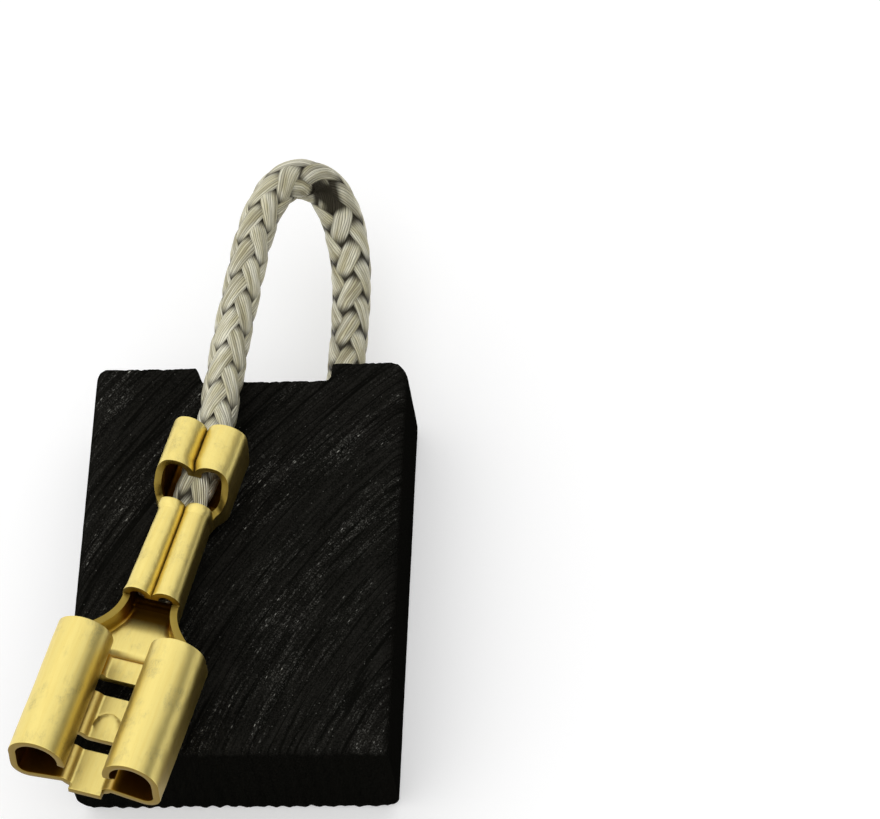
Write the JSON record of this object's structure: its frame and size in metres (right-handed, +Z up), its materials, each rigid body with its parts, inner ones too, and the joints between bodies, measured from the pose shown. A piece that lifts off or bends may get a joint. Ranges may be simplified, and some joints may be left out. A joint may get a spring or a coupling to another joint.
{
  "type": "carbon brush",
  "caption": "Pressed carbon block with fluted contact face and spring groove, braided copper lead looped back over it, and a crimped brass blade receptacle.",
  "frame": {"origin": "centre of the carbon block's underside", "axes": "+Y along the block's length towards the end that the lead leaves, with the contact face at -Y; +Z up through the block's thickness; +X across the block towards the lead's hole"},
  "size_m": [0.0177, 0.0376, 0.0114],
  "materials": {
    "carbon": "ground near-black carbon, dry and slightly silky, with fine grinding marks",
    "tamping_powder": "dull pressed metal and graphite powder",
    "tinned_copper_braid": "fine tinned copper wires, warm pale grey, soft sheen",
    "brass_strip": "bright satin rolled brass with sheared edges"
  },
  "bodies": {
    "root": {"carbon_block": "carbon", "tamping_plug": "tamping_powder", "shunt": "tinned_copper_braid", "terminal": "brass_strip"}
  },
  "joints": []
}
